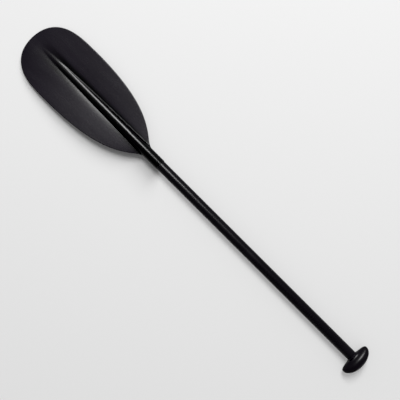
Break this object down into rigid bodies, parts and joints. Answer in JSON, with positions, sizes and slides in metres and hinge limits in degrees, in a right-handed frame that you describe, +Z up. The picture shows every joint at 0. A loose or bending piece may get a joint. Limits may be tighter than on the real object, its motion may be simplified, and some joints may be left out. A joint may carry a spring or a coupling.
{
  "type": "paddle",
  "caption": "Single-bladed paddle with a dished, spined blade, a straight tubular shaft and an oval palm grip.",
  "frame": {"origin": "on the surface that the paddle lies on, under the middle of its box", "axes": "+X along the shaft from the blade to the grip, +Y across the blade, +Z up out of the blade's dished face"},
  "size_m": [1.32, 0.2026, 0.0444],
  "materials": {
    "blade_plastic": "moulded, satin",
    "tube_aluminium": "drawn, bare",
    "sleeve_vinyl": "satin",
    "grip_plastic": "moulded, slightly glossy",
    "foam": "closed-cell foam, matte",
    "rivet_aluminium": "drawn, slightly dulled",
    "mandrel_steel": "drawn wire"
  },
  "bodies": {
    "root": {"blade": "blade_plastic", "shaft_tube": "tube_aluminium", "shaft_sleeve": "sleeve_vinyl", "palm_grip": "grip_plastic", "foam_plug_blade_end": "foam", "foam_plug_grip_end": "foam", "blade_rivet_body": "rivet_aluminium", "blade_rivet_mandrel": "mandrel_steel", "grip_rivet_body": "rivet_aluminium", "grip_rivet_mandrel": "mandrel_steel"}
  },
  "joints": []
}
